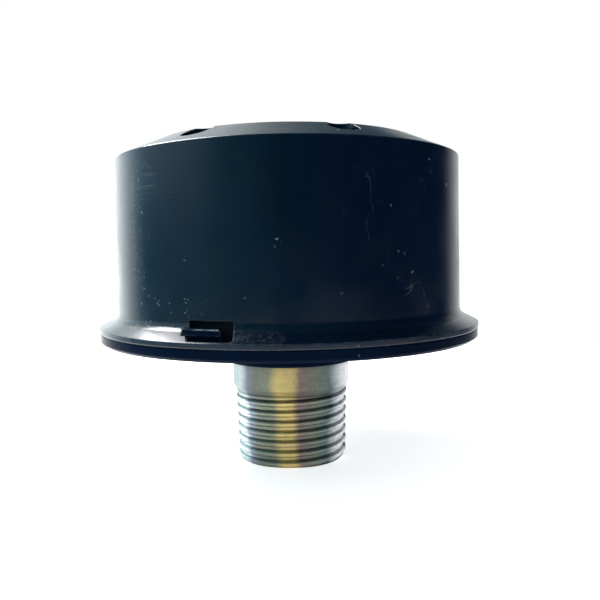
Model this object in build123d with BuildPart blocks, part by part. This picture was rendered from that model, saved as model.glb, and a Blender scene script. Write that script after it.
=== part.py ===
"""Intake silencer and filter for a small reciprocating air compressor.

A metal stem with an R 1/2 taper thread is moulded into a black base plate. The base plate carries an annular
pleated filter element, and a black cap is locked over it by two bayonet hooks, front and back. Air enters
the slots round the top of the cap, passes the foam ring, goes through the pleats from outside to inside, and
leaves through the intake tube and the stem.

Units are millimetres. The stem's lower end face is at Z = 0, its axis is Z, and +Z points up to the cap.
Azimuths are degrees from the front, -Y, towards +X.
"""

import os
from math import atan, cos, degrees, pi, radians, sin

from build123d import *

# ---------------------------------------------------------------- threaded stem
# R 1/2 taper pipe thread: 14 threads per inch, 20.955 mm at the gauge plane, 1:16 on diameter
THREAD_PITCH = 25.4 / 14
THREAD_GAUGE_RADIUS = 20.955 / 2
THREAD_GAUGE_LENGTH = 8.2
THREAD_LENGTH = 12.8
THREAD_DEPTH = 0.5
THREAD_FLANK_HEIGHT = 0.33
THREAD_CREST_HALF = 0.24 * THREAD_PITCH
THREAD_ROOT_HALF = 0.45 * THREAD_PITCH
THREAD_ROOT_OVERLAP = 0.25
THREAD_RUN_IN = 1.5 * THREAD_PITCH
THREAD_START_ANGLE = -100
THREAD_LEAD_IN = 1.0
THREAD_RUN_OUT = 0.7
CREST_CLEARANCE = 0.05
RADIUS_TAPER = 1 / 32
NECK_RADIUS = 10.95
NECK_RAMP = 1.2
STEM_TOP_EDGE = 0.3
END_CHAMFER = 0.35
END_EDGE = 0.5
BORE_RADIUS = 7.75
SOCKET_RADIUS = 9.05
SOCKET_BOTTOM = 25.5
STEM_LENGTH = 29.5
KNURL_RADIUS = 12.6
KNURL_BOTTOM = 23.9
KNURL_TOP = 27.7
KNURL_TEETH = 36
KNURL_GROOVE = 0.5
OVERLAP = 0.5

# ---------------------------------------------------------------- base plate
BASE_RADIUS = 34.4
BASE_BOTTOM = 23.0
BASE_TOP = 24.84
BASE_LOWER_EDGE = 0.45
BASE_UPPER_EDGE = 0.08
LOWER_HUB_RADIUS = 12.6
LOWER_HUB_BOTTOM = 18.55
LOWER_HUB_EDGE = 0.4
LOWER_HUB_DRAFT = 0.3
UPPER_HUB_RADIUS = 15.0
UPPER_HUB_TOP = 31.0
UPPER_HUB_EDGE = 0.8
SPIGOT_RADIUS = 29.05
SPIGOT_INNER_RADIUS = 26.9
SPIGOT_TOP = 30.0
SPIGOT_EDGE = 0.5
RECESS_INNER_RADIUS = 14.4
RECESS_OUTER_RADIUS = 31.6
RECESS_DEPTH = 0.6
RECESS_RIBS = 6
RIB_THICKNESS = 1.5

# O-ring between the spigot and the cap
SEAL_SECTION_RADIUS = 0.8
SEAL_CENTRE_RADIUS = 28.4
SEAL_Z = 28.2
SEAL_GROOVE_RADIUS = 27.55
SEAL_GROOVE_HALF = 0.85

# ---------------------------------------------------------------- cap
CAP_WALL_RADIUS = 31.3
CAP_SHOULDER_RADIUS = 31.05
CAP_INNER_RADIUS = 29.3
CAP_INNER_TOP_RADIUS = 29.1
CAP_FLANGE_RADIUS = 34.5
CAP_FLANGE_BOTTOM = 24.9
CAP_FLANGE_EDGE = 25.75
CAP_CONE_TOP = 27.35
CAP_ROOT_FILLET = 1.6
CAP_SHOULDER = 54.9
CAP_TOP_RADIUS = 23.9
CAP_TOP = 58.0
CAP_ROOF = 2.0
CAP_SHOULDER_FILLET = 0.25
CAP_TOP_FILLET = 0.8
CAP_FLANGE_FILLET = 0.14
CAP_SEAM_FILLET = 0.1
ROOF_UNDERSIDE = CAP_TOP - CAP_ROOF
ROOF_FLAT_RADIUS = CAP_TOP_RADIUS - 0.4
INNER_SHOULDER = CAP_SHOULDER - 1.3
GATE_RADIUS = 1.6
GATE_DEPTH = 0.25
BOSS_RADIUS = 7.2
BOSS_INNER_RADIUS = 5.4
BOSS_BOTTOM = 51.05
CENTRING_RIBS = 6
CENTRING_RIB_RADIUS = 26.95
CENTRING_RIB_BOTTOM = 30.8
CENTRING_RIB_TOP = 50.0
CENTRING_RIB_AZIMUTH = 38.5

# Air slots in the roof's cone
SLOT_COUNT = 7
SLOT_WIDTH = 4.8
SLOT_OUTER_RADIUS = 28.4
SLOT_INNER_RADIUS = 22.9
SLOT_BOTTOM = 52.5
SLOT_AZIMUTH = 19.2

# ---------------------------------------------------------------- bayonet
# The front hook and window are given by their X limits: both have sides parallel to the Y axis. The cap
# turns clockwise, seen from above, by about 2.1 degrees to free the hooks.
HOOK_COUNT = 2
HOOK_TIP_X = -15.6
HOOK_BACK_X = -9.75
HOOK_ARM_BOTTOM = 26.7
HOOK_ARM_TOP = 27.65
HOOK_INNER_RADIUS = 31.75
HOOK_OUTER_RADIUS = 33.7
HOOK_END_ROUND = 0.4
HOOK_EDGE = 0.12
ARM_ROOT = 0.3
LEG_TIP_X = -14.6
LEG_OUTER_RADIUS = 33.1
WINDOW_TIP_X = -14.8
WINDOW_BACK_X = -8.1
WINDOW_TOP = 28.6
WINDOW_INNER_RADIUS = 30.2
WINDOW_OUTER_RADIUS = 34.15
WINDOW_CORNER = 0.35
LEDGE_Z = 26.5
LEDGE_TIP_X = -16.0
LEDGE_TOP = 27.85
LEDGE_INNER_RADIUS = 31.6

# ---------------------------------------------------------------- filter element, from the bottom up
GASKET_TOP = 26.4
END_RING_TOP = 29.0
END_DISC_BOTTOM = 46.9
END_DISC_TOP = 49.5
ELEMENT_RADIUS = 26.6
ELEMENT_INNER_RADIUS = 15.3
CORE_WALL = 0.6
CORE_HOLE_RADIUS = 1.4
CORE_HOLE_COLUMNS = 16
CORE_HOLE_ROWS = 4
SLEEVE_WALL = 1.1
CAP_EDGE = 0.4
PLEAT_COUNT = 44
PLEAT_INNER_RADIUS = 16.1
PLEAT_OUTER_RADIUS = 25.3
PAPER = 0.45

# Pad between the element and the cap, foam under the roof, and tube on the stem
PAD_RADIUS = 10.0
PAD_TOP = 50.95
FOAM_BOTTOM = 50.4
FOAM_INNER_RADIUS = 10.6
FOAM_OUTER_RADIUS = 28.8
GLUE = 0.05
TUBE_RADIUS = 9.0
TUBE_TOP = 42.5
TUBE_BELL_RADIUS = 11.0
TUBE_BELL_START = TUBE_TOP - 3.2
TUBE_BELL_LIP = 0.4
TUBE_BELL_WALL = 0.6
TUBE_SHOULDER_RADIUS = 12.0
TUBE_SHOULDER = 1.2

os.makedirs("parts", exist_ok=True)


# ---------------------------------------------------------------- helpers
def meridian(azimuth):
    """The half-plane through the Z axis at an azimuth, with local X outward and local Y up."""
    angle = radians(azimuth - 90)
    return Plane(origin=(0, 0, 0), x_dir=(cos(angle), sin(angle), 0), z_dir=(sin(angle), -cos(angle), 0))


def thread_radius(z):
    """The crest radius of the taper thread at height z above its small end."""
    return THREAD_GAUGE_RADIUS + (z - THREAD_GAUGE_LENGTH) * RADIUS_TAPER


def section(inner, outer, low, high):
    """A rectangle in a half-plane's sketch, between two radii and two heights."""
    with Locations(((inner + outer) / 2, (low + high) / 2)):
        Rectangle(outer - inner, high - low)


def annulus(inner, outer):
    """Two concentric circles that leave a ring."""
    Circle(outer)
    Circle(inner, mode=Mode.SUBTRACT)


def front_strip(left, right):
    """Keeps the part of a sketch in front of the X axis between two X values."""
    with Locations(((left + right) / 2, -CAP_FLANGE_RADIUS / 2)):
        Rectangle(right - left, CAP_FLANGE_RADIUS, mode=Mode.INTERSECT)


def knurled_disc():
    """The outline of the stem's knurled collar."""
    Circle(KNURL_RADIUS)
    with PolarLocations(KNURL_RADIUS, KNURL_TEETH):
        RegularPolygon(KNURL_GROOVE, 4, mode=Mode.SUBTRACT)


def save(piece, label):
    """Labels a finished piece and writes it as its own STEP file."""
    piece.part.label = label
    export_step(piece.part, f"parts/{label}.step")
    print(f"{label}: {piece.part.volume:.1f} mm3, {len(piece.part.solids())} solid(s)")


# ---------------------------------------------------------------- threaded stem
# The helical ridge starts below the stem's end and runs past the last full thread
ridge_start = -THREAD_RUN_IN
thread_helix = Helix(
    pitch=THREAD_PITCH,
    height=THREAD_LENGTH + THREAD_RUN_IN + 2 * THREAD_PITCH,
    radius=thread_radius(ridge_start) - THREAD_DEPTH,
    center=(0, 0, ridge_start),
    cone_angle=degrees(atan(RADIUS_TAPER)),
)
with BuildPart() as thread_ridge:
    with BuildSketch(Plane(origin=thread_helix @ 0, x_dir=(1, 0, 0), z_dir=thread_helix % 0)):
        with BuildLine():
            Polyline(
                (THREAD_FLANK_HEIGHT, THREAD_CREST_HALF),
                (-THREAD_ROOT_OVERLAP, THREAD_ROOT_HALF),
                (-THREAD_ROOT_OVERLAP, -THREAD_ROOT_HALF),
                (THREAD_FLANK_HEIGHT, -THREAD_CREST_HALF),
            )
            ThreePointArc(
                (THREAD_FLANK_HEIGHT, -THREAD_CREST_HALF),
                (THREAD_DEPTH, 0),
                (THREAD_FLANK_HEIGHT, THREAD_CREST_HALF),
            )
        make_face()
    sweep(path=thread_helix, is_frenet=True)

# The ridge is trimmed to the stem's lead-in chamfer and to the run-out under the neck
end_root = thread_radius(0) - THREAD_DEPTH
with BuildPart() as thread_turns:
    with BuildSketch(Plane.XZ):
        Polygon(
            (BORE_RADIUS, 0),
            (end_root, 0),
            (thread_radius(0) + CREST_CLEARANCE, THREAD_LEAD_IN),
            (thread_radius(THREAD_LENGTH) + CREST_CLEARANCE, THREAD_LENGTH - THREAD_RUN_OUT),
            (NECK_RADIUS - THREAD_RUN_OUT, THREAD_LENGTH + THREAD_RUN_OUT),
            (BORE_RADIUS, THREAD_LENGTH + THREAD_RUN_OUT),
            align=None,
        )
    revolve(axis=Axis.Z)
    add(thread_ridge.part, rotation=(0, 0, THREAD_START_ANGLE), mode=Mode.INTERSECT)

with BuildPart() as threaded_stem:
    with BuildSketch(Plane.XZ):
        Polygon(
            (BORE_RADIUS + END_EDGE, 0),
            (end_root - END_CHAMFER, 0),
            (end_root, END_CHAMFER),
            (thread_radius(THREAD_LENGTH) - THREAD_DEPTH, THREAD_LENGTH),
            (NECK_RADIUS, THREAD_LENGTH + NECK_RAMP),
            (NECK_RADIUS, STEM_LENGTH - STEM_TOP_EDGE),
            (NECK_RADIUS - STEM_TOP_EDGE, STEM_LENGTH),
            (SOCKET_RADIUS, STEM_LENGTH),
            (SOCKET_RADIUS, SOCKET_BOTTOM),
            (BORE_RADIUS, SOCKET_BOTTOM),
            (BORE_RADIUS, END_EDGE),
            align=None,
        )
    revolve(axis=Axis.Z)
    add(thread_turns.part)
    with BuildSketch(Plane.XY.offset(KNURL_BOTTOM)):
        knurled_disc()
        Circle(NECK_RADIUS - OVERLAP, mode=Mode.SUBTRACT)
    extrude(amount=KNURL_TOP - KNURL_BOTTOM)
save(threaded_stem, "threaded_stem")

# ---------------------------------------------------------------- base plate
# The front hook: a leg that stands in the cap's window, and an arm that reaches over the cap's ledge
with BuildPart() as hook_leg:
    with BuildSketch(Plane.XY.offset(BASE_TOP - OVERLAP)):
        annulus(HOOK_INNER_RADIUS, LEG_OUTER_RADIUS)
        front_strip(LEG_TIP_X, HOOK_BACK_X)
    extrude(amount=HOOK_ARM_TOP - ARM_ROOT - (BASE_TOP - OVERLAP))

with BuildPart() as hook_arm:
    with BuildSketch(Plane.XY.offset(HOOK_ARM_BOTTOM)):
        annulus(HOOK_INNER_RADIUS, HOOK_OUTER_RADIUS)
        front_strip(HOOK_TIP_X, HOOK_BACK_X)
    extrude(amount=HOOK_ARM_TOP - HOOK_ARM_BOTTOM)
    fillet(edges().filter_by(Axis.Y), HOOK_END_ROUND)
    fillet(faces().sort_by(Axis.Z)[-1].edges().filter_by(GeomType.CIRCLE), HOOK_EDGE)

# The recess in the base's underside, less the ribs that are left standing in it
with BuildPart() as underside_recess:
    with BuildSketch(Plane.XY.offset(BASE_BOTTOM)):
        annulus(RECESS_INNER_RADIUS, RECESS_OUTER_RADIUS)
        with PolarLocations((RECESS_INNER_RADIUS + RECESS_OUTER_RADIUS) / 2, RECESS_RIBS):
            Rectangle(RECESS_OUTER_RADIUS, RIB_THICKNESS, mode=Mode.SUBTRACT)
    extrude(amount=RECESS_DEPTH)

with BuildPart() as base_plate:
    with BuildSketch(Plane.XZ):
        with BuildLine():
            Polyline(
                (NECK_RADIUS - OVERLAP, LOWER_HUB_BOTTOM),
                (LOWER_HUB_RADIUS - LOWER_HUB_EDGE, LOWER_HUB_BOTTOM),
                (LOWER_HUB_RADIUS, LOWER_HUB_BOTTOM + LOWER_HUB_EDGE),
                (LOWER_HUB_RADIUS + LOWER_HUB_DRAFT, BASE_BOTTOM),
                (BASE_RADIUS - BASE_LOWER_EDGE, BASE_BOTTOM),
                (BASE_RADIUS, BASE_BOTTOM + BASE_LOWER_EDGE),
                (BASE_RADIUS, BASE_TOP - BASE_UPPER_EDGE),
                (BASE_RADIUS - BASE_UPPER_EDGE, BASE_TOP),
                (SPIGOT_RADIUS, BASE_TOP),
                (SPIGOT_RADIUS, SPIGOT_TOP - SPIGOT_EDGE),
                (SPIGOT_RADIUS - SPIGOT_EDGE, SPIGOT_TOP),
                (SPIGOT_INNER_RADIUS, SPIGOT_TOP),
                (SPIGOT_INNER_RADIUS, BASE_TOP),
                (UPPER_HUB_RADIUS, BASE_TOP),
                (UPPER_HUB_RADIUS, UPPER_HUB_TOP - UPPER_HUB_EDGE),
                (UPPER_HUB_RADIUS - UPPER_HUB_EDGE, UPPER_HUB_TOP),
                (NECK_RADIUS - OVERLAP, UPPER_HUB_TOP),
                close=True,
            )
        make_face()
    revolve(axis=Axis.Z)
    with BuildSketch(Plane.XZ):
        section(SEAL_GROOVE_RADIUS, BASE_RADIUS, SEAL_Z - SEAL_GROOVE_HALF, SEAL_Z + SEAL_GROOVE_HALF)
    revolve(axis=Axis.Z, mode=Mode.SUBTRACT)
    add(underside_recess.part, mode=Mode.SUBTRACT)
    with PolarLocations(0, HOOK_COUNT):
        add(hook_leg.part)
        add(hook_arm.part)
    with BuildSketch(Plane.XY.offset(LOWER_HUB_BOTTOM)):
        Circle(NECK_RADIUS)
    extrude(amount=STEM_LENGTH - LOWER_HUB_BOTTOM, mode=Mode.SUBTRACT)
    with BuildSketch(Plane.XY.offset(KNURL_BOTTOM)):
        knurled_disc()
    extrude(amount=KNURL_TOP - KNURL_BOTTOM, mode=Mode.SUBTRACT)
save(base_plate, "base_plate")

# ---------------------------------------------------------------- O-ring in the spigot's groove
with BuildPart() as cap_seal_ring:
    with BuildSketch(Plane.XZ):
        with Locations((SEAL_CENTRE_RADIUS, SEAL_Z)):
            Circle(SEAL_SECTION_RADIUS)
    revolve(axis=Axis.Z)
save(cap_seal_ring, "cap_seal_ring")

# ---------------------------------------------------------------- cap housing
with BuildPart() as window:
    with BuildSketch(Plane.XY.offset(BASE_TOP)):
        annulus(WINDOW_INNER_RADIUS, WINDOW_OUTER_RADIUS)
        front_strip(WINDOW_TIP_X, WINDOW_BACK_X)
    extrude(amount=WINDOW_TOP - BASE_TOP)
    fillet(edges().filter_by(Axis.Z), WINDOW_CORNER)

with BuildPart() as ledge_pocket:
    with BuildSketch(Plane.XY.offset(LEDGE_Z)):
        annulus(LEDGE_INNER_RADIUS, CAP_FLANGE_RADIUS)
        front_strip(LEDGE_TIP_X, WINDOW_TIP_X + OVERLAP)
    extrude(amount=LEDGE_TOP - LEDGE_Z)

with BuildPart() as cap_housing:
    with BuildSketch(Plane.XZ):
        with BuildLine():
            Polyline(
                (CAP_FLANGE_RADIUS, CAP_FLANGE_EDGE),
                (CAP_WALL_RADIUS, CAP_CONE_TOP),
                (CAP_SHOULDER_RADIUS, CAP_SHOULDER),
                (CAP_TOP_RADIUS, CAP_TOP),
                (0, CAP_TOP),
                (0, ROOF_UNDERSIDE),
                (ROOF_FLAT_RADIUS, ROOF_UNDERSIDE),
                (CAP_INNER_TOP_RADIUS, INNER_SHOULDER),
                (CAP_INNER_RADIUS, CAP_FLANGE_BOTTOM),
                (CAP_FLANGE_RADIUS, CAP_FLANGE_BOTTOM),
                close=True,
            )
        make_face()
        fillet(vertices().sort_by_distance((CAP_WALL_RADIUS, CAP_CONE_TOP))[0], CAP_ROOT_FILLET)
        fillet(vertices().sort_by_distance((CAP_SHOULDER_RADIUS, CAP_SHOULDER))[0], CAP_SHOULDER_FILLET)
        fillet(vertices().sort_by_distance((CAP_TOP_RADIUS, CAP_TOP))[0], CAP_TOP_FILLET)
        fillet(vertices().sort_by_distance((CAP_FLANGE_RADIUS, CAP_FLANGE_EDGE))[0], CAP_FLANGE_FILLET)
        fillet(vertices().sort_by_distance((CAP_FLANGE_RADIUS, CAP_FLANGE_BOTTOM))[0], CAP_SEAM_FILLET)
    revolve(axis=Axis.Z)
    with BuildSketch(Plane.XY.offset(BOSS_BOTTOM)):
        annulus(BOSS_INNER_RADIUS, BOSS_RADIUS)
    extrude(amount=ROOF_UNDERSIDE - BOSS_BOTTOM)
    with BuildSketch(Plane.XY.offset(CENTRING_RIB_BOTTOM)):
        annulus(CENTRING_RIB_RADIUS, CAP_INNER_RADIUS + OVERLAP)
        with PolarLocations(CAP_INNER_RADIUS, CENTRING_RIBS, CENTRING_RIB_AZIMUTH - 90):
            Rectangle(CAP_INNER_RADIUS, RIB_THICKNESS, mode=Mode.INTERSECT)
    extrude(amount=CENTRING_RIB_TOP - CENTRING_RIB_BOTTOM)
    with BuildSketch(Plane.XY.offset(SLOT_BOTTOM)):
        with PolarLocations((SLOT_OUTER_RADIUS + SLOT_INNER_RADIUS) / 2, SLOT_COUNT, SLOT_AZIMUTH - 90):
            SlotOverall(SLOT_OUTER_RADIUS - SLOT_INNER_RADIUS, SLOT_WIDTH)
    extrude(amount=CAP_TOP - SLOT_BOTTOM, mode=Mode.SUBTRACT)
    with BuildSketch(Plane.XY.offset(CAP_TOP)):
        Circle(GATE_RADIUS)
    extrude(amount=-GATE_DEPTH, mode=Mode.SUBTRACT)
    with PolarLocations(0, HOOK_COUNT):
        add(window.part, mode=Mode.SUBTRACT)
        add(ledge_pocket.part, mode=Mode.SUBTRACT)
save(cap_housing, "cap_housing")

# ---------------------------------------------------------------- foam ring under the slots
with BuildPart() as acoustic_foam:
    with BuildSketch(Plane.XZ):
        with BuildLine():
            Polyline(
                (FOAM_INNER_RADIUS, FOAM_BOTTOM),
                (FOAM_OUTER_RADIUS, FOAM_BOTTOM),
                (FOAM_OUTER_RADIUS, INNER_SHOULDER - GLUE),
                (ROOF_FLAT_RADIUS, ROOF_UNDERSIDE - GLUE),
                (FOAM_INNER_RADIUS, ROOF_UNDERSIDE - GLUE),
                close=True,
            )
        make_face()
    revolve(axis=Axis.Z)
save(acoustic_foam, "acoustic_foam")

# ---------------------------------------------------------------- filter element
with BuildPart() as element_gasket:
    with BuildSketch(Plane.XY.offset(BASE_TOP)):
        annulus(ELEMENT_INNER_RADIUS, ELEMENT_RADIUS)
    extrude(amount=GASKET_TOP - BASE_TOP)
save(element_gasket, "element_gasket")

with BuildPart() as filter_end_ring:
    with BuildSketch(Plane.XY.offset(GASKET_TOP)):
        annulus(ELEMENT_INNER_RADIUS, ELEMENT_RADIUS)
    extrude(amount=END_RING_TOP - GASKET_TOP)
    fillet(edges().filter_by(GeomType.CIRCLE).group_by(SortBy.RADIUS)[-1], CAP_EDGE)
save(filter_end_ring, "filter_end_ring")

with BuildPart() as filter_end_disc:
    with BuildSketch(Plane.XY.offset(END_DISC_BOTTOM)):
        Circle(ELEMENT_RADIUS)
    extrude(amount=END_DISC_TOP - END_DISC_BOTTOM)
    fillet(edges().filter_by(GeomType.CIRCLE), CAP_EDGE)
save(filter_end_disc, "filter_end_disc")

element_height = END_DISC_BOTTOM - END_RING_TOP
core_outer_radius = ELEMENT_INNER_RADIUS + CORE_WALL
core_row_step = element_height / CORE_HOLE_ROWS
with BuildPart() as filter_core:
    with BuildSketch(Plane.XY.offset(END_RING_TOP)):
        annulus(ELEMENT_INNER_RADIUS, core_outer_radius)
    extrude(amount=element_height)
    for row in range(CORE_HOLE_ROWS):
        row_height = END_RING_TOP + (row + 0.5) * core_row_step
        row_turn = (row % 2) * 180 / CORE_HOLE_COLUMNS
        for column in range(CORE_HOLE_COLUMNS):
            hole_plane = meridian(row_turn + column * 360 / CORE_HOLE_COLUMNS).rotated((0, 90, 0))
            with BuildSketch(hole_plane):
                with Locations((0, row_height)):
                    Circle(CORE_HOLE_RADIUS)
            extrude(amount=core_outer_radius + OVERLAP, mode=Mode.SUBTRACT)
save(filter_core, "filter_core")

with BuildPart() as prefilter_sleeve:
    with BuildSketch(Plane.XY.offset(END_RING_TOP)):
        annulus(ELEMENT_RADIUS - SLEEVE_WALL, ELEMENT_RADIUS)
    extrude(amount=element_height)
save(prefilter_sleeve, "prefilter_sleeve")


# The paper is a zigzag sheet: its thickness measured along the radius is larger than PAPER
flank_slope = PLEAT_INNER_RADIUS * pi / PLEAT_COUNT / (PLEAT_OUTER_RADIUS - PLEAT_INNER_RADIUS)
radial_paper = PAPER * (1 + flank_slope**2) ** 0.5 / flank_slope / 2


def pleat_outline(inset):
    """The corners of one side of the zigzag sheet, moved towards the axis by inset."""
    corners = []
    for fold in range(2 * PLEAT_COUNT):
        angle = pi * fold / PLEAT_COUNT
        radius = (PLEAT_OUTER_RADIUS if fold % 2 else PLEAT_INNER_RADIUS + radial_paper) - inset
        corners.append((radius * cos(angle), radius * sin(angle)))
    return corners


with BuildPart() as filter_media:
    with BuildSketch(Plane.XY.offset(END_RING_TOP)):
        Polygon(*pleat_outline(0), align=None)
        Polygon(*pleat_outline(radial_paper), align=None, mode=Mode.SUBTRACT)
    extrude(amount=element_height)
save(filter_media, "filter_media")

# ---------------------------------------------------------------- pad that the cap's boss presses on
with BuildPart() as hold_down_pad:
    with BuildSketch(Plane.XY.offset(END_DISC_TOP)):
        Circle(PAD_RADIUS)
    extrude(amount=PAD_TOP - END_DISC_TOP)
    fillet(edges().sort_by(Axis.Z)[-1], CAP_EDGE)
save(hold_down_pad, "hold_down_pad")

# ---------------------------------------------------------------- intake tube, plugged into the stem
bore_top = (BORE_RADIUS, TUBE_BELL_START)
lip_outside = (TUBE_BELL_RADIUS, TUBE_TOP - TUBE_BELL_LIP)
lip_inside = (TUBE_BELL_RADIUS - TUBE_BELL_WALL, TUBE_TOP)
bell_sweep = 4.0
with BuildPart() as intake_tube:
    with BuildSketch(Plane.XZ):
        with BuildLine():
            Polyline(
                bore_top,
                (BORE_RADIUS, SOCKET_BOTTOM),
                (TUBE_RADIUS, SOCKET_BOTTOM),
                (TUBE_RADIUS, UPPER_HUB_TOP),
                (TUBE_SHOULDER_RADIUS, UPPER_HUB_TOP),
                (TUBE_SHOULDER_RADIUS, UPPER_HUB_TOP + TUBE_SHOULDER),
                (TUBE_RADIUS, UPPER_HUB_TOP + TUBE_SHOULDER),
                (TUBE_RADIUS, TUBE_BELL_START),
            )
            RadiusArc((TUBE_RADIUS, TUBE_BELL_START), lip_outside, -bell_sweep)
            Polyline(
                lip_outside,
                (TUBE_BELL_RADIUS, TUBE_TOP),
                lip_inside,
            )
            RadiusArc(lip_inside, bore_top, bell_sweep)
        make_face()
    revolve(axis=Axis.Z)
save(intake_tube, "intake_tube")
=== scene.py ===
"""The compressor intake silencer on a pale floor, lit and framed for one product view.

The CAD nodes keep their shapes and get procedural materials. Units are metres, in the CAD's own frame:
+Z is up, -Y is the front, and the origin is the centre of the stem's lower end.
"""

import math

import bpy
from mathutils import Euler, Matrix, Vector


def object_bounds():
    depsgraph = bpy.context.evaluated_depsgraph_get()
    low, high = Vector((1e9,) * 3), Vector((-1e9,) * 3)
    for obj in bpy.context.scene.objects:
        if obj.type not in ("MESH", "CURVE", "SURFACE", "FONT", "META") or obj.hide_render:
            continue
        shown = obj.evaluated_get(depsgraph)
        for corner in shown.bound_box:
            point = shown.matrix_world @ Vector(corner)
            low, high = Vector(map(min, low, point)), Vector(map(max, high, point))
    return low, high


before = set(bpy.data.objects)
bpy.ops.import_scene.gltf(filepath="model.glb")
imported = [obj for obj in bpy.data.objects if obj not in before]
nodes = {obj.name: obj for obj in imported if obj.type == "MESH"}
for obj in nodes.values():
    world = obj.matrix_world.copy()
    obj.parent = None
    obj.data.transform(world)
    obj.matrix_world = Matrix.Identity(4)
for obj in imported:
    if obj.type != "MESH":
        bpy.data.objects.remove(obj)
cad_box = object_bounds()
MM = 0.001

# ---------------------------------------------------------------- camera
CAMERA_DISTANCE = 0.1233
CAMERA_HEIGHT = 0.03815
CAMERA_PITCH = 4.06
CAMERA_ROLL = 0.9
CAMERA_YAW = 0.9
FOCAL_LENGTH = 39.1
SENSOR_WIDTH = 36.0
CLIP_START = 0.01


def make_camera():
    """A camera in front of the object, a little above its flange, looking slightly down."""
    camera = bpy.data.objects.new("camera", bpy.data.cameras.new("camera"))
    bpy.context.collection.objects.link(camera)
    camera.data.sensor_width = SENSOR_WIDTH
    camera.data.lens = FOCAL_LENGTH
    camera.data.clip_start = CLIP_START
    camera.location = (0, -CAMERA_DISTANCE, CAMERA_HEIGHT)
    aim = Euler((math.radians(90 - CAMERA_PITCH), 0, math.radians(-CAMERA_YAW))).to_matrix()
    roll = Matrix.Rotation(math.radians(-CAMERA_ROLL), 3, "Z")
    camera.rotation_euler = (aim @ roll).to_euler()
    bpy.context.scene.camera = camera


# ---------------------------------------------------------------- node helpers
class Graph:
    """A small helper that builds one node tree."""

    def __init__(self, tree):
        self.tree = tree

    def add(self, kind, inputs=None, output=0, **settings):
        """Adds a node, sets or links its inputs, and returns one of its output sockets."""
        node = self.tree.nodes.new("ShaderNode" + kind)
        for name, value in settings.items():
            setattr(node, name, value)
        for key, value in (inputs or {}).items():
            self.feed(node.inputs[key], value)
        return node.outputs[output]

    def feed(self, socket, value):
        """Links an output socket to an input, or sets the input's own value."""
        if isinstance(value, bpy.types.NodeSocket):
            self.tree.links.new(value, socket)
        else:
            socket.default_value = value

    def place(self):
        """The shaded point's place in the CAD's frame."""
        return self.add("TexCoord", output=3)

    def normal(self):
        """The surface's true normal."""
        return self.add("NewGeometry", output=1)

    def axes(self, vector):
        """A vector's X, Y and Z."""
        return [self.add("SeparateXYZ", {0: vector}, output=axis) for axis in range(3)]

    def math(self, operation, a, b=0.0, clamp=False):
        return self.add("Math", {0: a, 1: b}, operation=operation, use_clamp=clamp)

    def times(self, first, *others):
        """The product of all the values."""
        for value in others:
            first = self.math("MULTIPLY", first, value)
        return first

    def highest(self, first, *others):
        """The greatest of all the values."""
        for value in others:
            first = self.math("MAXIMUM", first, value)
        return first

    def span(self, value, low, high, to_low=0.0, to_high=1.0):
        """A smooth step from to_low at low to to_high at high."""
        inputs = {0: value, 1: low, 2: high, 3: to_low, 4: to_high}
        return self.add("MapRange", inputs, interpolation_type="SMOOTHSTEP")

    def band(self, value, low, high, soft):
        """1 between low and high, falling to 0 over soft on both sides."""
        rise = self.span(value, low - soft, low)
        fall = self.span(value, high, high + soft, 1.0, 0.0)
        return self.times(rise, fall)

    def mix(self, factor, a, b, blend="MIX"):
        return self.add("MixRGB", {0: factor, 1: a, 2: b}, blend_type=blend)

    def stretched(self, vector, scale, turn=(0, 0, 0)):
        return self.add("Mapping", {"Vector": vector, "Rotation": turn, "Scale": scale})

    def noise(self, vector, scale, detail=2.0, roughness=0.5):
        """Soft noise with scale features to the metre."""
        inputs = {"Vector": vector, "Scale": scale, "Detail": detail, "Roughness": roughness}
        return self.add("TexNoise", inputs)

    def cells(self, vector, scale, feature="F1"):
        """Distances within random cells, scale of them to the metre."""
        return self.add("TexVoronoi", {"Vector": vector, "Scale": scale, "Randomness": 1.0}, feature=feature)

    def ramp(self, factor, stops):
        """A colour ramp from (position, colour) pairs."""
        output = self.add("ValToRGB", {0: factor})
        elements = output.node.color_ramp.elements
        for index, (position, colour) in enumerate(stops):
            element = elements[index] if index < 2 else elements.new(position)
            element.position = position
            element.color = (*colour, 1.0)
        return output

    def bump(self, height, strength, distance, normal=None):
        inputs = {"Height": height, "Strength": strength, "Distance": distance}
        if normal is not None:
            inputs["Normal"] = normal
        return self.add("Bump", inputs)


def new_material(name, **constants):
    """A principled material with an empty graph; constants are set on the shader's own sockets."""
    material = bpy.data.materials.new(name)
    material.use_nodes = True
    shader = material.node_tree.nodes["Principled BSDF"]
    for key, value in constants.items():
        shader.inputs[key.replace("_", " ")].default_value = value
    return material, Graph(material.node_tree), shader


def finish_material(graph, shader, colour, roughness, normal):
    graph.feed(shader.inputs["Base Color"], colour)
    graph.feed(shader.inputs["Roughness"], roughness)
    graph.feed(shader.inputs["Normal"], normal)


def dress(node_name, material):
    """Puts one material on every slot of a CAD node."""
    mesh = nodes[node_name].data
    mesh.materials.clear()
    mesh.materials.append(material)


def grey(value):
    return (value, value, value, 1.0)


# ---------------------------------------------------------------- moulded black plastic
BLACKS = [(0.12, (0.0004, 0.0032, 0.0125)), (0.42, (0.001, 0.0065, 0.0195))]
RUBBED = (0.2, 0.235, 0.24, 1.0)
# A painted highlight: the near-white painted along the front hook arm's edges
ARM_HIGHLIGHT = (0.95, 0.97, 0.97, 1.0)
DUSTY = (0.21, 0.24, 0.215, 1.0)
SCRATCHED = (0.19, 0.22, 0.2, 1.0)
EDGE_ROUNDING = 0.25 * MM

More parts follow.
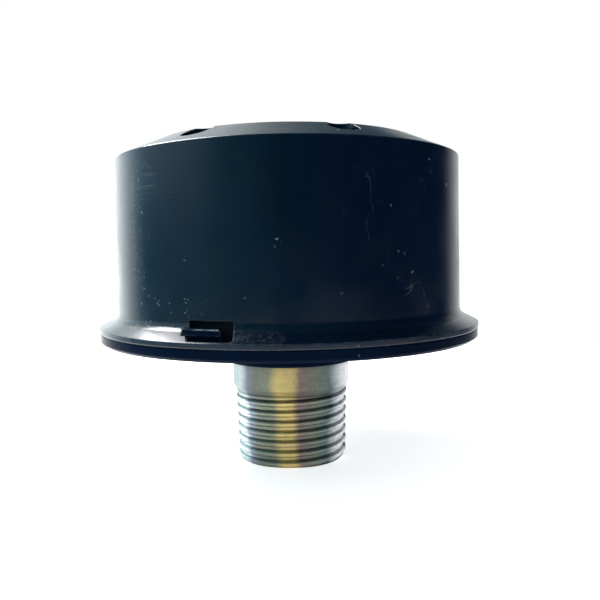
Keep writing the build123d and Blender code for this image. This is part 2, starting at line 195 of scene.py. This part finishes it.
# Places on the plastic parts: steps are (low, high), and bands are (low, high, soft edge)
SEAM_STEP = (25.1 * MM, 25.5 * MM)
ARM_X = (-15.7 * MM, -10.2 * MM, 0.2 * MM)
ARM_Z = (27.3 * MM, 27.8 * MM, 0.1 * MM)
ARM_STEP = (-30.5 * MM, -31 * MM)
POCKET_RADIUS_STEP = (30.7 * MM, 30.4 * MM)
POCKET_TOP_STEP = (31 * MM, 30 * MM)
DUSTY_X = (-8.5 * MM, -2 * MM, 2.5 * MM)
DUSTY_Y_STEP = (-29 * MM, -31 * MM)
DUSTY_Z_STEP = (28 * MM, 26 * MM)
FRONT_STEP = (0.0, -4 * MM)
LEVEL_X = (-32 * MM, -16 * MM, 4 * MM)
LEVEL_Z = (46 * MM, 53.5 * MM, 2 * MM)
STRIP_X = (-28 * MM, -23 * MM, 2.5 * MM)
STRIP_Z = (36 * MM, 50 * MM, 5 * MM)
LOW_LEFT_X = (-25 * MM, -14 * MM, 3 * MM)
LOW_LEFT_Z = (28 * MM, 31 * MM, 2 * MM)
CURVED_X = (9 * MM, 22 * MM, 3 * MM)
CURVED_Z = (30 * MM, 49 * MM, 4 * MM)


def hairlines(graph, place, stretch, turn, scale, width, patches):
    """Thin lines: the ridges of a noise stretched along one direction, broken into patches by another."""
    ridge = graph.math("SUBTRACT", graph.noise(graph.stretched(place, stretch, turn), scale, 1.0), 0.5)
    line = graph.span(graph.math("ABSOLUTE", ridge), 0.0, width, 1.0, 0.0)
    return graph.times(line, graph.span(graph.noise(place, patches, 3.0), 0.5, 0.62))


def scratch_mask(graph, place, x, y, z):
    """Level and upright lines and chips on the left, curved lines on the right, and a few faint ones."""
    level = hairlines(graph, place, (0.1, 0.1, 12.0), (0.0, 0.03, 0.0), 130.0, width=0.010, patches=120.0)
    level = graph.times(level, graph.band(z, *LEVEL_Z), graph.band(x, *LEVEL_X), 0.5)
    upright = hairlines(graph, place, (9.0, 3.0, 0.6), (0.0, 0.10, 0.0), 110.0, width=0.014, patches=300.0)
    chips = graph.span(graph.cells(place, 1500.0), 0.3, 0.15)
    chips = graph.times(chips, graph.span(graph.noise(place, 700.0), 0.5, 0.6))
    strip = graph.times(graph.highest(upright, chips), graph.band(z, *STRIP_Z), graph.band(x, *STRIP_X))
    low_left = graph.times(chips, graph.band(x, *LOW_LEFT_X), graph.band(z, *LOW_LEFT_Z))
    curved = hairlines(graph, place, (1.5, 1.5, 1.0), (0.3, 0.5, 0.0), 150.0, width=0.006, patches=190.0)
    curved = graph.times(curved, graph.band(x, *CURVED_X), graph.band(z, *CURVED_Z), 0.28)
    faint = hairlines(graph, place, (1.0, 1.0, 0.7), (0.6, 0.2, 0.4), 130.0, width=0.004, patches=120.0)
    faint = graph.times(faint, 0.045)
    front = graph.highest(graph.span(y, *FRONT_STEP), 0.35)
    return graph.times(graph.highest(level, strip, low_left, curved, faint), front)


def dust_mask(graph, place, x, y, z):
    """Specks all over, and a thin film on upward faces that is thickest beside the front window."""
    speck = graph.span(graph.cells(place, 900.0), 0.32, 0.14)
    speck = graph.times(speck, graph.span(graph.noise(place, 380.0), 0.66, 0.72), 0.5)
    upward = graph.span(graph.axes(graph.normal())[2], 0.15, 0.9)
    film = graph.times(upward, graph.span(graph.noise(place, 1300.0, 5.0, 0.75), 0.42, 0.72))
    beside = graph.times(graph.band(x, *DUSTY_X), graph.span(y, *DUSTY_Y_STEP), graph.span(z, *DUSTY_Z_STEP))
    depth = graph.span(beside, 0.0, 1.0, 0.018, 0.17)
    return graph.math("ADD", speck, graph.times(film, depth), clamp=True)


def pocket_mask(graph, x, y, z):
    """The back walls of the two windows, which are moulded duller than the outside."""
    radius = graph.math("SQRT", graph.math("ADD", graph.times(x, x), graph.times(y, y)))
    return graph.times(graph.span(radius, *POCKET_RADIUS_STEP), graph.span(z, *POCKET_TOP_STEP))


def arm_highlight_mask(graph, place, x, y, z):
    """The front hook's arm, where a highlight is painted along its edges."""
    patchy = graph.span(graph.noise(place, 700.0, 3.0), 0.3, 0.5, 0.5, 1.0)
    return graph.times(graph.band(x, *ARM_X), graph.band(z, *ARM_Z), graph.span(y, *ARM_STEP), patchy)


def black_plastic(name, gloss, wear, is_housing):
    """Black plastic with a blue cast, flow marks, worn edges and dust.

    The housing is scratched too, and the base has a painted highlight along its hook's arm.
    """
    material, graph, shader = new_material(name, IOR=1.5, Specular_IOR_Level=gloss)
    place = graph.place()
    x, y, z = graph.axes(place)
    cloud = graph.noise(place, 55.0, 4.0, 0.55)
    flow = graph.noise(graph.stretched(place, (1.0, 1.0, 0.18)), 160.0, 3.0, 0.6)
    colour = graph.ramp(graph.times(cloud, flow), BLACKS)

    rounded = graph.add("Bevel", {"Radius": EDGE_ROUNDING}, samples=4)
    facing = graph.add("VectorMath", {0: graph.normal(), 1: rounded}, operation="DOT_PRODUCT", output=1)
    edge = graph.span(facing, 0.985, 0.90)
    rub = graph.times(edge, graph.span(graph.noise(place, 420.0, 4.0, 0.7), 0.32, 0.62))
    colour = graph.mix(graph.times(rub, graph.span(z, *SEAM_STEP), wear), colour, RUBBED)
    if not is_housing:
        # Painted highlight: the edges of the front hook's arm are painted near white
        colour = graph.mix(graph.times(edge, arm_highlight_mask(graph, place, x, y, z)), colour, ARM_HIGHLIGHT)

    dust = dust_mask(graph, place, x, y, z)
    colour = graph.mix(dust, colour, DUSTY)
    roughness = graph.span(graph.noise(place, 140.0, 4.0, 0.6), 0.3, 0.7, 0.15, 0.24)
    roughness = graph.math("ADD", roughness, graph.times(pocket_mask(graph, x, y, z), 0.6))
    roughness = graph.math("ADD", roughness, graph.times(rub, 0.25))
    roughness = graph.math("ADD", roughness, graph.times(dust, 0.5), clamp=True)
    normal = graph.bump(graph.noise(place, 1500.0, 3.0), 0.06, 0.03 * MM, rounded)
    normal = graph.bump(flow, 0.05, 0.12 * MM, normal)
    if is_housing:
        marks = scratch_mask(graph, place, x, y, z)
        colour = graph.mix(graph.times(marks, 0.5), colour, SCRATCHED)
        roughness = graph.math("ADD", roughness, graph.times(marks, 0.3), clamp=True)
        normal = graph.bump(graph.math("SUBTRACT", 1.0, marks), 0.25, 0.02 * MM, normal)
    finish_material(graph, shader, colour, roughness, normal)
    return material


# ---------------------------------------------------------------- metals
PLATING_SHEEN = (0.5, 0.53, 0.55, 1.0)
# Painted shade: the near-black put into the stem's grooves
GROOVE_SHADE = (0.07, 0.085, 0.08, 1.0)
PIT = (0.1, 0.1, 0.09, 1.0)
THREAD_STEP = (14 * MM, 11 * MM)
THREAD_LEFT_STEP = (-4 * MM, -8 * MM)
GROOVE_REACH = 0.9 * MM
# Painted reflections: the plating's colour by the share of a turn round the stem, in bands that stand in for
# the surroundings mirrored in it: back, left, front, right and back again
REFLECTION_BANDS = [
    (0.0, (0.36, 0.38, 0.37)),
    (1.0, (0.36, 0.38, 0.37)),
    (0.27, (0.32, 0.35, 0.35)),
    (0.345, (0.32, 0.35, 0.34)),
    (0.37, (0.11, 0.12, 0.145)),
    (0.40, (0.085, 0.092, 0.072)),
    (0.445, (0.115, 0.12, 0.085)),
    (0.47, (0.33, 0.25, 0.095)),
    (0.505, (0.33, 0.25, 0.095)),
    (0.525, (0.13, 0.095, 0.085)),
    (0.57, (0.12, 0.13, 0.10)),
    (0.61, (0.085, 0.12, 0.12)),
    (0.645, (0.42, 0.42, 0.42)),
    (0.71, (0.72, 0.69, 0.68)),
    (0.735, (0.06, 0.07, 0.08)),
    (0.78, (0.4, 0.42, 0.4)),
]


def share_of_turn(graph, place, x, y):
    """0 at the back, 0.25 at the left, 0.5 at the front and 0.75 at the right, with a little drift."""
    half_turns = graph.math("DIVIDE", graph.math("ARCTAN2", x, graph.times(y, -1.0)), math.pi)
    drift = graph.times(graph.math("SUBTRACT", graph.noise(place, 130.0, 3.0), 0.5), 0.05)
    return graph.math("ADD", graph.math("ADD", graph.times(half_turns, 0.5), 0.5), drift)


def turned_metal():
    """Plated steel, turned and threaded: tool rings, painted reflections in vertical bands, painted light
    that brightens the thread, most on its left, and painted shade in the grooves.
    """
    material, graph, shader = new_material(
        "stem_metal", IOR=2.2, Metallic=0.82, Specular_Tint=PLATING_SHEEN
    )
    place = graph.place()
    x, y, z = graph.axes(place)
    rings = graph.noise(graph.stretched(place, (0.05, 0.05, 1.0)), 2600.0, 3.0, 0.7)
    mottle = graph.noise(place, 900.0, 5.0, 0.7)
    # Painted light: the thread is painted brighter than the neck, and its left side brighter still; the
    # rings and mottle are the metal's own tone
    on_thread = graph.span(z, *THREAD_STEP)
    thread_left_painted_light = graph.times(on_thread, graph.span(x, *THREAD_LEFT_STEP, 0.0, 0.4))
    shade = graph.times(
        graph.span(rings, 0.25, 0.75, 0.86, 1.08),
        graph.span(mottle, 0.3, 0.7, 0.84, 1.1),
        graph.math("ADD", thread_left_painted_light, 1.0),
        graph.span(z, *THREAD_STEP, 1.25, 1.9),
    )
    # Painted reflections: the bands of colour round the stem, scaled by the tone below
    colour = graph.mix(1.0, graph.ramp(share_of_turn(graph, place, x, y), REFLECTION_BANDS), shade, "MULTIPLY")
    # Painted shade: where ambient occlusion finds the grooves closed in, they are darkened; the same mask
    # makes them rougher
    openness = graph.add("AmbientOcclusion", {"Distance": GROOVE_REACH}, output=1, samples=6)
    groove_shade = graph.span(openness, 0.94, 0.66)
    colour = graph.mix(graph.times(groove_shade, 0.3), colour, GROOVE_SHADE)
    pits = graph.times(graph.span(graph.noise(place, 2600.0), 0.68, 0.74), 0.6)
    colour = graph.mix(pits, colour, PIT)
    roughness = graph.span(mottle, 0.3, 0.7, 0.34, 0.46)
    roughness = graph.math("ADD", roughness, graph.times(groove_shade, 0.2), clamp=True)
    normal = graph.bump(rings, 0.18, 0.03 * MM)
    normal = graph.bump(mottle, 0.12, 0.03 * MM, normal)
    finish_material(graph, shader, colour, roughness, normal)
    return material


def core_steel():
    """Rolled sheet steel with a faint grain along its height."""
    material, graph, shader = new_material("core_steel", IOR=2.2, Metallic=1.0)
    place = graph.place()
    grain = graph.noise(graph.stretched(place, (1.0, 1.0, 0.06)), 2200.0, 4.0, 0.6)
    stain = graph.noise(place, 180.0, 4.0)
    colour = graph.ramp(graph.mix(0.5, grain, stain), [(0.3, (0.36, 0.36, 0.35)), (0.7, (0.6, 0.6, 0.58))])
    roughness = graph.span(stain, 0.3, 0.7, 0.26, 0.42)
    finish_material(graph, shader, colour, roughness, graph.bump(grain, 0.2, 0.04 * MM))
    return material


# ---------------------------------------------------------------- rubber, plastic, paper and foam
def speckled(name, dark, light, scale, roughness, bump, **constants):
    """A matt material of two tones in soft clouds, with a fine grain."""
    material, graph, shader = new_material(name, **constants)
    place = graph.place()
    cloud = graph.noise(place, scale * 0.2, 3.0)
    grain = graph.noise(place, scale, 5.0, 0.7)
    colour = graph.ramp(graph.mix(0.5, cloud, grain), [(0.3, dark), (0.7, light)])
    rough = graph.span(grain, 0.3, 0.7, roughness - 0.08, roughness + 0.08)
    finish_material(graph, shader, colour, rough, graph.bump(grain, bump, 0.15 * MM))
    return material


def paper():
    """Resin-treated filter paper, with fibres in soft clouds."""
    material, graph, shader = new_material("filter_paper", Sheen_Weight=0.2)
    place = graph.place()
    fibre = graph.noise(graph.stretched(place, (1.0, 1.0, 0.35)), 1400.0, 6.0, 0.75)
    cloud = graph.noise(place, 150.0, 3.0)
    colour = graph.ramp(graph.mix(0.4, fibre, cloud), [(0.3, (0.5, 0.37, 0.17)), (0.7, (0.75, 0.6, 0.34))])
    rough = graph.span(fibre, 0.3, 0.7, 0.75, 0.92)
    finish_material(graph, shader, colour, rough, graph.bump(fibre, 0.5, 0.1 * MM))
    return material


def open_foam(name, dark, light, pores):
    """Open-cell foam: round pores with lighter struts between them."""
    material, graph, shader = new_material(name)
    place = graph.place()
    strut = graph.span(graph.cells(place, pores, "DISTANCE_TO_EDGE"), 0.22, 0.03)
    cloud = graph.noise(place, 160.0, 3.0)
    tone = graph.times(strut, graph.span(cloud, 0.2, 0.8, 0.6, 1.0))
    colour = graph.mix(tone, (*dark, 1.0), (*light, 1.0))
    rough = graph.span(cloud, 0.3, 0.7, 0.85, 0.97)
    finish_material(graph, shader, colour, rough, graph.bump(strut, 0.9, 0.5 * MM))
    return material


def dress_all():
    """Gives every CAD node its material; the element's two end caps share one."""
    dress("cap_housing", black_plastic("housing_plastic", gloss=0.5, wear=0.65, is_housing=True))
    dress("base_plate", black_plastic("base_plastic", gloss=0.02, wear=0.3, is_housing=False))
    dress("threaded_stem", turned_metal())
    dress("filter_core", core_steel())
    dress("filter_media", paper())
    dress("acoustic_foam", open_foam("black_foam", (0.004, 0.004, 0.005), (0.03, 0.03, 0.032), 1100.0))
    dress("prefilter_sleeve", open_foam("sleeve_foam", (0.02, 0.02, 0.02), (0.13, 0.13, 0.125), 900.0))
    tube = speckled("tube_plastic", (0.02, 0.02, 0.022), (0.05, 0.05, 0.055), 900.0, 0.5, 0.15)
    dress("intake_tube", tube)
    seal_blacks = ((0.004, 0.004, 0.005), (0.012, 0.012, 0.013))
    dress("cap_seal_ring", speckled("seal_rubber", *seal_blacks, 1200.0, 0.7, 0.2, Specular_IOR_Level=0.15))
    pad = speckled("pad_rubber", (0.02, 0.02, 0.02), (0.06, 0.06, 0.058), 1000.0, 0.8, 0.35)
    dress("hold_down_pad", pad)
    gasket = speckled("gasket_felt", (0.03, 0.03, 0.03), (0.09, 0.09, 0.085), 1600.0, 0.9, 0.7)
    dress("element_gasket", gasket)
    end_caps = speckled("end_cap_rubber", (0.025, 0.025, 0.03), (0.07, 0.07, 0.08), 800.0, 0.7, 0.25)
    dress("filter_end_ring", end_caps)
    dress("filter_end_disc", end_caps)


# ---------------------------------------------------------------- floor, surroundings and lights
FLOOR_RADIUS = 0.17
FLOOR_SEGMENTS = 96
FLOOR_GAP = 0.02 * MM
FLOOR_GLOW = 0.72
ROOM_COLOURS = [(0.0, (0.10, 0.34, 0.42)), (0.45, (0.014, 0.078, 0.08)), (1.0, (0.01, 0.03, 0.07))]
WINDOW_COLOUR = (0.6, 0.95, 1.15, 1.0)
LIGHT_TARGET = (0, 0, 0.03)


def make_floor():
    """A pale round table top under the stem, with a very soft grain and a little light of its own."""
    angles = [2 * math.pi * i / FLOOR_SEGMENTS for i in range(FLOOR_SEGMENTS)]
    ring = [(FLOOR_RADIUS * math.cos(angle), FLOOR_RADIUS * math.sin(angle), 0) for angle in angles]
    mesh = bpy.data.meshes.new("floor")
    mesh.from_pydata(ring, [], [list(range(FLOOR_SEGMENTS))])
    floor = bpy.data.objects.new("floor", mesh)
    floor.location.z = cad_box[0][2] - FLOOR_GAP
    bpy.context.collection.objects.link(floor)
    material, graph, shader = new_material(
        "floor_pale", Emission_Color=grey(1.0), Emission_Strength=FLOOR_GLOW
    )
    grain = graph.noise(graph.place(), 60.0, 4.0)
    colour = graph.ramp(grain, [(0.3, (0.86, 0.865, 0.87)), (0.7, (0.9, 0.9, 0.9))])
    roughness = graph.span(grain, 0.3, 0.7, 0.75, 0.85)
    finish_material(graph, shader, colour, roughness, graph.bump(grain, 0.05, 0.2 * MM))
    mesh.materials.append(material)


def white_surround(graph, x, y, z):
    """How white each direction is: white behind the object, most on the left, and dimmer overhead.

    On the right it ends lower, and on the near left it dips, so the roof's bevel darkens to the right.
    """
    left = graph.span(y, 0.18, 0.80, 0.0, 1.7)
    right = graph.span(y, 0.46, 0.86, 0.0, 0.85)
    white = graph.add("Mix", {0: graph.span(x, -0.25, 0.35), 2: left, 3: right}, data_type="FLOAT")
    overhead = graph.span(z, 0.50, 0.74, 1.0, 0.04)
    right_shade = graph.times(graph.span(x, -0.35, 0.2), graph.span(z, 0.28, 0.44, 0.0, 0.96))
    left_shade = graph.times(graph.span(x, -0.12, -0.2), graph.span(z, 0.2, 0.3, 0.0, 0.35))
    lit = [graph.math("SUBTRACT", 1.0, shade) for shade in (right_shade, left_shade)]
    return graph.times(white, overhead, *lit)


def make_world():
    """A white surround with a dim blue-grey room in front, and plain white for the backdrop itself."""
    world = bpy.data.worlds.new("studio")
    bpy.context.scene.world = world
    world.use_nodes = True
    graph = Graph(world.node_tree)
    x, y, z = graph.axes(graph.add("TexCoord", output=0))
    window = graph.times(graph.span(x, -0.6, -0.95), graph.span(z, 0.02, 0.2))
    room = graph.mix(window, graph.ramp(graph.span(x, -1.0, 1.0), ROOM_COLOURS), WINDOW_COLOUR)
    white = white_surround(graph, x, y, z)
    surround = graph.mix(1.0, room, graph.add("CombineColor", {0: white, 1: white, 2: white}), "ADD")
    lit = world.node_tree.nodes["Background"]
    graph.feed(lit.inputs["Color"], surround)
    lit.inputs["Strength"].default_value = 1.0
    backdrop = graph.add("Background", {"Color": grey(1.0), "Strength": 1.0})
    seen = graph.add("LightPath", output=0)
    shown = graph.add("MixShader", {0: seen, 1: lit.outputs[0], 2: backdrop})
    graph.feed(world.node_tree.nodes["World Output"].inputs["Surface"], shown)


def soft_light(name, place, width, height, power, mirrored=True):
    """An area light that points at the object, unseen by the camera and, unless mirrored, by reflections."""
    light = bpy.data.lights.new(name, "AREA")
    light.shape = "RECTANGLE"
    light.size = width
    light.size_y = height
    light.energy = power
    lamp = bpy.data.objects.new(name, light)
    lamp.location = place
    lamp.rotation_euler = (Vector(LIGHT_TARGET) - Vector(place)).to_track_quat("-Z", "Y").to_euler()
    lamp.visible_camera = False
    lamp.visible_glossy = mirrored
    bpy.context.collection.objects.link(lamp)


def make_lights():
    """A large soft light above the front, and a small one that shines in the left of the flange."""
    soft_light("top_front", (0.0, -0.45, 0.75), width=1.6, height=0.9, power=5.0, mirrored=False)
    soft_light("flange_left", (-0.29, 0.17, 0.43), width=0.40, height=0.25, power=6.2)


make_camera()
dress_all()
make_floor()
make_world()
make_lights()
bpy.context.scene.view_settings.view_transform = "Standard"
